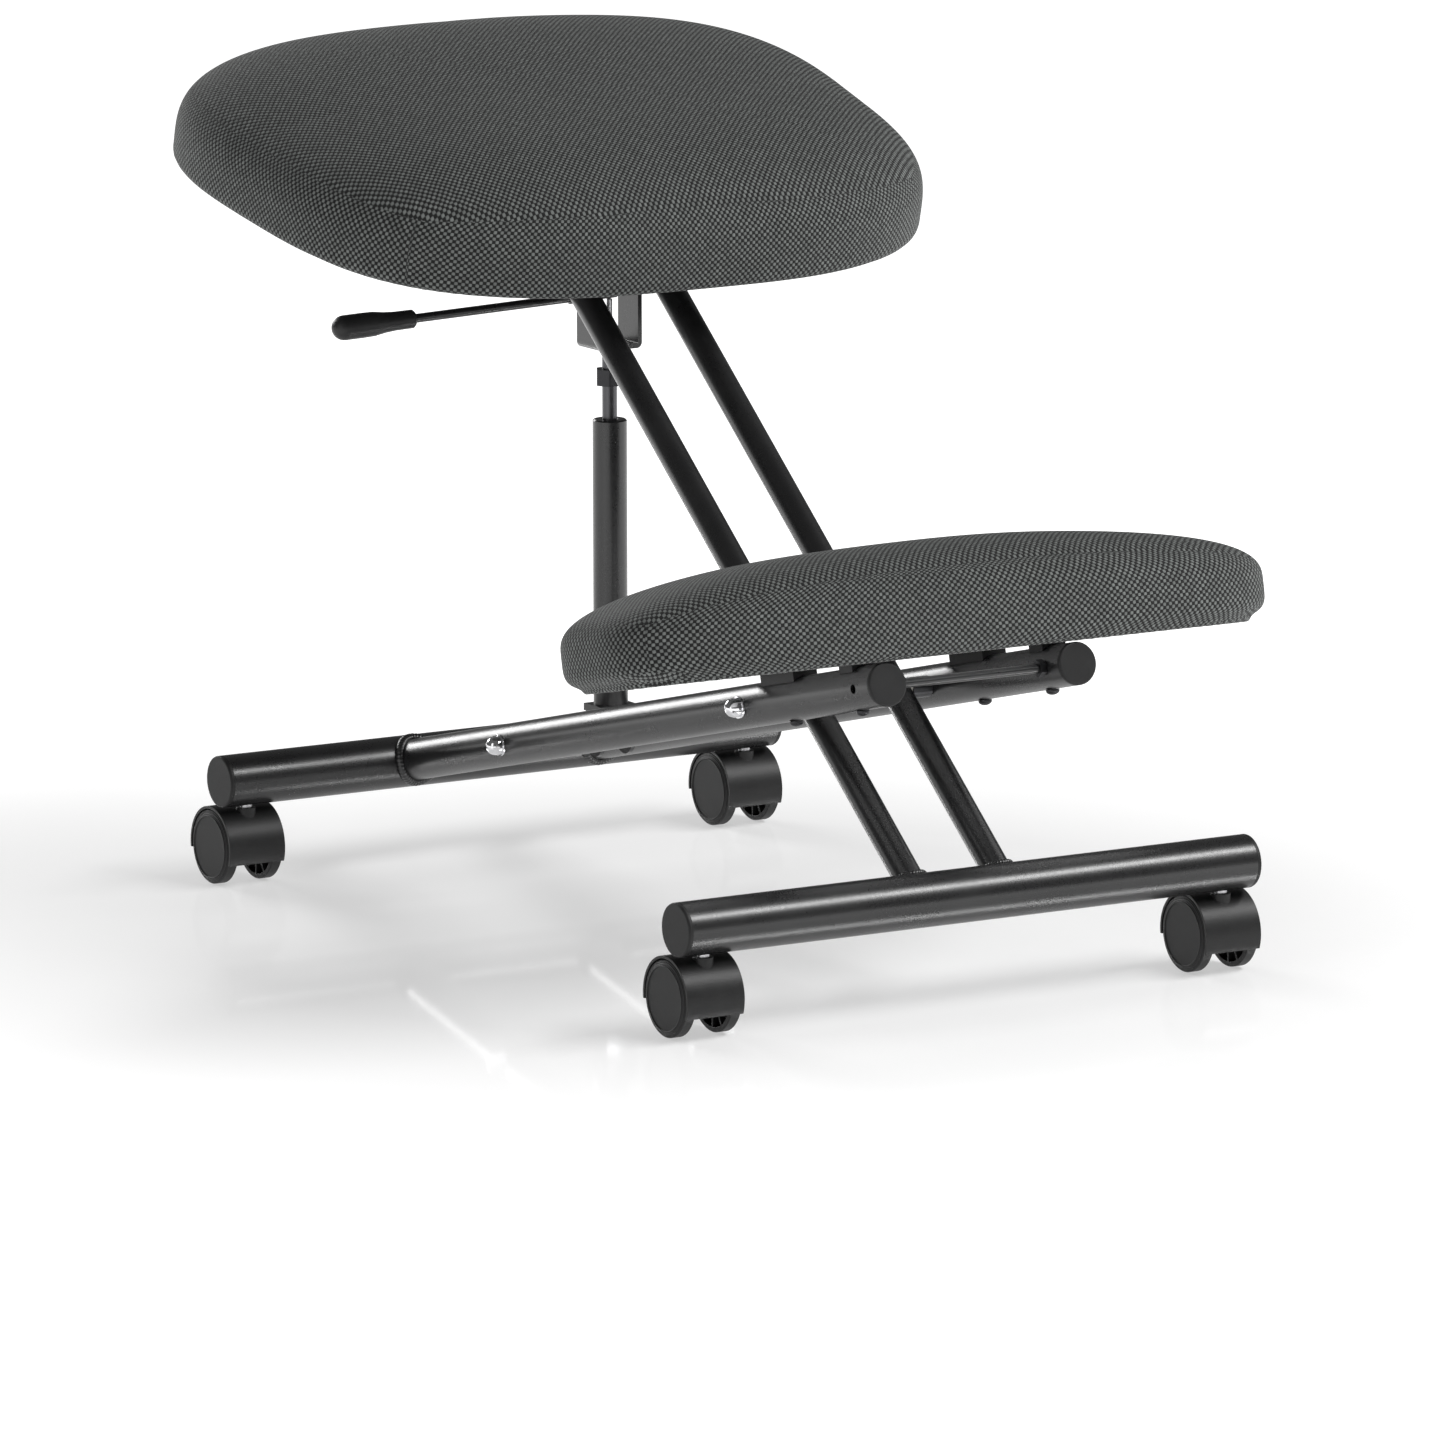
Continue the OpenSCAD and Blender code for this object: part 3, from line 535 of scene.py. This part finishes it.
    us = np.where(np.abs(wrap_to(q, 0)) < per / 4, wrap_to(q, 0), -wrap_to(q, per / 2))
    for nm, data in (("wv_xy", verts), ("wv_uv", np.c_[uf, us, drop]), ("wv_n", nrm)):
        at_ = me.attributes.new(nm, "FLOAT_VECTOR", "POINT")
        at_.data.foreach_set("vector", np.asarray(data, np.float32).ravel())
    # swell
    w = np.clip((drop.max() * 0 + (verts[:, 2] + cb)) / 0.006, 0, 1)
    w[n_free:] = 0
    w[drop > ms[-1] - sc + 0.001] *= 0.0
    start = verts - nrm * (shrink * MM) * w[:, None]
    goal = verts
    me.vertices.foreach_set("co", start.ravel())
    me.update()
    pin = o.vertex_groups.new(name="pin")
    for i in np.nonzero(w < 0.02)[0]:
        pin.add([int(i)], 1.0, "REPLACE")
    cl = o.modifiers.new("swell", "CLOTH")
    st = cl.settings
    st.quality, st.mass = 4, 0.25
    st.tension_stiffness = st.compression_stiffness = 22
    st.shear_stiffness, st.bending_stiffness = 12, 2.5
    st.effector_weights.gravity = 0
    st.use_pressure = True
    st.uniform_pressure_force = 4.0
    st.vertex_group_mass = "pin"
    cl.collision_settings.use_self_collision = False
    cl.point_cache.frame_start, cl.point_cache.frame_end = 1, 20
    for fr in range(1, 21):
        scene.frame_set(fr)
    ev = o.evaluated_get(bpy.context.evaluated_depsgraph_get())
    got = np.zeros(len(ev.data.vertices) * 3)
    ev.data.vertices.foreach_get("co", got)
    got = got.reshape(-1, 3)
    o.modifiers.remove(cl)
    scene.frame_set(1)
    mv = got - start
    ln = np.linalg.norm(mv, axis=1)
    cap = travel * MM
    mv *= (cap * np.tanh(ln / cap) / np.maximum(ln, 1e-9))[:, None]
    got = start + mv
    print("cushion", name, "moved mm", round(float(ln.max()) * 1000, 2), "mean off shape mm",
          round(float((((got - verts) * nrm).sum(1) * w).sum() / w.sum()) * 1000, 2))
    # the foam holds its outline: the cover may swell off it, hardly sink into it
    off = got - verts
    out = (off * nrm).sum(1)
    off += nrm * (np.where(out < 0, -0.85 * out, 0.0) * w)[:, None]
    goal = verts + off * 0.5 + nrm * (0.0016 * w)[:, None]
    # foam and cover are never quite even; the gathers under the corners
    rng = np.random.default_rng(7)
    even = np.zeros(len(verts))
    for _ in range(14):
        kx, ky = rng.normal(0, 22, 2)
        even += rng.normal(0, 0.10) * np.sin(kx * verts[:, 0] + ky * verts[:, 1] + rng.uniform(0, 6.28))
    goal = goal + nrm * (even * MM * w)[:, None]
    if name.startswith("knee"):
        # the cover is drawn tight where the struts come close at full height
        hold = np.clip((0.090 - np.abs(verts[:, 0])) / 0.03, 0, 1) * np.clip((verts[:, 1] / b - 0.30) / 0.25, 0, 1)
        goal = goal + ((verts - nrm * (0.0012 * w)[:, None]) - goal) * hold[:, None]
    under = (verts[:, 2] < -cb + 0.0006) & (np.arange(len(verts)) < n_free)
    dq = np.min(np.abs(np.array([wrap_to(q, c) for c in corners])), axis=0)
    pleat = np.cos(q / 0.0105 * 2 * np.pi) * np.exp(-(dq / 0.045) ** 2)
    goal[:, 2] += np.where(under, -0.0006 * pleat * np.clip((drop - (ms[-1] - sc)) / 0.008, 0, 1), 0)
    me.vertices.foreach_set("co", goal.ravel())
    me.transform(Matrix.Translation(Vector(place) * MM) @ Matrix.Rotation(math.radians(tilt), 4, "X"))
    me.update()
    sub = o.modifiers.new("smooth", "SUBSURF")
    sub.levels = sub.render_levels = 1
    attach(o, body)
    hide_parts(node)
    return o


seat_tilt = 13.5
seat_place = (0, 206 + 15 * math.sin(math.radians(seat_tilt)), 490 - 15 * math.cos(math.radians(seat_tilt)))
pad_cb, rail_tilt, pad_tilt = 28, 13.47, 12.0
pad_low = 71 + (295.5 + 232) * math.tan(math.radians(rail_tilt)) + 14 / math.cos(math.radians(rail_tilt)) + 2.85
pad_place = (0, -232, pad_low + pad_cb / math.cos(math.radians(pad_tilt)))
seat = cushion("seat_cushion_cover", "seat_frame", "seat_cushion", seat_place, seat_tilt,
               240, 186, 64.4, 17, 3.1, 3.4, 9, 0.06, 0.06, 20, 112, 88, 3.0, 5.0)
pad = cushion("knee_cushion_cover", "base_frame", "knee_cushion", pad_place, -pad_tilt,
              243, 86, 46, 28, 3.6, 2.5, 7, -0.02, 0.15, 15, 116, 44, 3.0, 5.0)


# ------------------------------------------------------------- weld beads --
def sweep_closed(path, outward, radius, mat, name, sides=12, ripple=0.0, pitch=0.0022):
    """A closed bead along path; outward gives each point's face-side direction."""
    path = np.array(path)
    n = len(path)
    tan = np.roll(path, -1, 0) - np.roll(path, 1, 0)
    tan /= np.linalg.norm(tan, axis=1)[:, None]
    out = np.array(outward)
    out = out - (out * tan).sum(1)[:, None] * tan
    out /= np.linalg.norm(out, axis=1)[:, None]
    side = np.cross(tan, out)
    d = np.r_[0, np.cumsum(np.linalg.norm(np.diff(path, axis=0), axis=1))]
    verts, faces = [], []
    for i in range(n):
        ph = d[i] / pitch
        r = radius * (1 + ripple * (abs(math.sin(math.pi * ph)) - 0.5))
        for j in range(sides):
            a = 2 * math.pi * j / sides
            verts.append(path[i] + out[i] * (r * math.cos(a)) + side[i] * (r * math.sin(a)))
    for i in range(n):
        for j in range(sides):
            k_, l_ = (i + 1) % n, (j + 1) % sides
            faces.append((i * sides + j, k_ * sides + j, k_ * sides + l_, i * sides + l_))
    return new_object(name, verts, faces, mat)


def saddle(origin, axis, radius, bar_y, bar_z, bar_r, grow=0.0, n=360):
    """Where a tube from origin along axis meets a crossbar: points and outward directions."""
    axis = np.array(axis) / np.linalg.norm(axis)
    ex = np.array([1.0, 0, 0])
    ey = np.cross(axis, ex)
    pts, outs = [], []
    for i in range(n):
        th = 2 * math.pi * i / n
        rad = ex * math.cos(th) + ey * math.sin(th)
        p0 = np.array(origin) + rad * (radius + grow * 0.35)
        # |p0 + s*axis - bar axis| = bar_r + grow in the YZ plane
        w = np.array([p0[1] - bar_y, p0[2] - bar_z])
        e = axis[1:]
        R = bar_r + grow * 0.35
        A_, B_, C_ = e @ e, 2 * w @ e, w @ w - R * R
        s = (-B_ + math.sqrt(max(0, B_ * B_ - 4 * A_ * C_))) / (2 * A_)
        p = p0 + axis * s
        nb = np.array([0, p[1] - bar_y, p[2] - bar_z])
        pts.append(p)
        outs.append(rad + nb / np.linalg.norm(nb))
    return pts, outs


ra = math.radians(rail_tilt)
for side, sx in (("left", -1), ("right", 1)):
    pts, outs = saddle((sx * 0.0715, 0.2955, 0.071), (0, -math.cos(ra), math.sin(ra)), 0.014, 0.2955, 0.071, 0.0175, 0.0012)
    o = sweep_closed(pts, outs, 0.0034, M_STEEL, "weld_rail_" + side, ripple=0.10)
    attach(o, "base_frame")
sa = math.radians(38.9)
py, pz = -0.15904277, 0.17987438
for side, sx in (("left", -1), ("right", 1)):
    # from the pivot down the strut to the front crossbar
    ax = np.array([0, math.cos(sa), math.sin(sa)])
    org = np.array([sx * 0.0327, py, pz]) - ax * 0.174
    pts, outs = saddle(org, ax, 0.0095, -0.2955, 0.071, 0.0175, 0.0008)
    o = sweep_closed(pts, outs, 0.0022, M_STEEL, "weld_strut_" + side, ripple=0.12, pitch=0.0019)
    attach(o, "seat_frame")


# ---------------------------------------------------------------- casters --
def ring_mesh(name, centre, radius, minor, mat, n=96, m=10):
    """A raised line around a wheel's outer face, turned about X."""
    v, f = [], []
    for i in range(n):
        t = 2 * math.pi * i / n
        for j in range(m):
            q = 2 * math.pi * j / m
            r = radius + minor * math.cos(q)
            v.append((centre[0] + minor * math.sin(q), centre[1] + r * math.cos(t), centre[2] + r * math.sin(t)))
            f.append((i * m + j, i * m + (j + 1) % m, (i + 1) % n * m + (j + 1) % m, (i + 1) % n * m + j))
    return new_object(name, np.array(v), f, mat)


for fy, cy in (("front", -295.5), ("rear", 295.5)):
    for sx, cx in (("left", -195.5), ("right", 195.5)):
        for io in ("outer", "inner"):
            side = (-1 if sx == "left" else 1) * (1 if io == "outer" else -1)
            for tag, face, rr, mm in (("rim_line", 21.55, 20.9, 0.55),):
                o = ring_mesh(f"{tag}_{fy}_{sx}_{io}", ((cx + side * face) * MM, (cy + 11.7) * MM, 25 * MM),
                              rr * MM, mm * MM, M_WHEEL)
                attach(o, f"wheel_{fy}_{sx}_{io}_spin")

for o in list(bpy.data.objects):
    if o.type == "MESH" and (o.name.startswith("hood_") or o.name in ("lever_grip",)):
        bv = o.modifiers.new("soft_edge", "BEVEL")
        bv.width, bv.segments, bv.limit_method, bv.angle_limit = 0.0009, 3, "ANGLE", math.radians(38)
        bv.harden_normals = False


# ------------------------------------------------------------------ studio --
def floor_material():
    """Pale polished floor: evenly pale colour, a glow of painted light that is weaker near the object and stronger
    away from it, and a soft mirror image near the object.
    """
    g = G("pale_floor_painted_glow")
    c = g.coords()
    x, y, _ = g.sep(c)
    n1, n2 = g.noise(c, 3.0, 3, 0.55), g.noise(c, 60, 3, 0.6)
    col = g.mixc(g.line(n1, 0.3, 0.7), (0.80, 0.80, 0.80), (0.82, 0.82, 0.82))
    g.set(color=col, rough=0.9, spec=0.0)
    g.bsdf.inputs["Emission Color"].default_value = (1, 1, 1, 1)
    gl = g.node("ShaderNodeBsdfGlossy")
    g.put(gl.inputs["Roughness"], g.line(n2, 0.2, 0.8, 0.05, 0.07))
    far = g.math("SQRT", g.add(g.mul(x, x), g.mul(y, y)))
    # painted light: the floor glows, weaker near the object (0.74) and stronger away from it (1.02)
    g.put(g.bsdf.inputs["Emission Strength"], g.line(far, 0.35, 1.0, 0.74, 1.02))
    mixn = g.node("ShaderNodeMixShader")
    g.put(mixn.inputs[0], g.line(far, 0.35, 1.1, 0.38, 0.04))
    g.t.links.new(g.bsdf.outputs[0], mixn.inputs[1])
    g.t.links.new(gl.outputs[0], mixn.inputs[2])
    g.t.links.new(mixn.outputs[0], g.out.inputs["Surface"])
    return g.mat


bpy.ops.mesh.primitive_plane_add(size=60, location=(0, 0, -0.0004))
floor = bpy.context.object
floor.name = "floor"
floor.data.materials.append(floor_material())


def area(name, loc, target, size, power, shape="RECTANGLE", size_y=None):
    li = bpy.data.lights.new(name, "AREA")
    li.shape, li.size, li.energy = shape, size, power
    if size_y: li.size_y = size_y
    o = bpy.data.objects.new(name, li)
    o.location = loc
    d = Vector(target) - Vector(loc)
    o.rotation_euler = d.to_track_quat("-Z", "Y").to_euler()
    o.visible_camera = False
    scene.collection.objects.link(o)
    return o


area("key", (1.75, -1.75, 2.45), (0, 0, 0.3), 3.0, 88, size_y=0.55)
area("rim", (-0.5, 3.4, 1.35), (0, 0, 0.3), 1.3, 42, size_y=1.0)
area("fill", (-3.2, -1.2, 1.3), (0, 0, 0.3), 1.4, 13, size_y=2.2)

world = bpy.data.worlds.new("studio")
scene.world = world
world.use_nodes = True
wt = world.node_tree
wt.nodes.clear()
wo = wt.nodes.new("ShaderNodeOutputWorld")
lp = wt.nodes.new("ShaderNodeLightPath")
b1, b2 = wt.nodes.new("ShaderNodeBackground"), wt.nodes.new("ShaderNodeBackground")
mixs = wt.nodes.new("ShaderNodeMixShader")
b1.inputs[0].default_value, b1.inputs[1].default_value = (1, 1, 1, 1), 0.12
b2.inputs[0].default_value, b2.inputs[1].default_value = (1, 1, 1, 1), 1.10
wt.links.new(lp.outputs["Is Camera Ray"], mixs.inputs[0])
wt.links.new(b1.outputs[0], mixs.inputs[1])
wt.links.new(b2.outputs[0], mixs.inputs[2])
wt.links.new(mixs.outputs[0], wo.inputs[0])
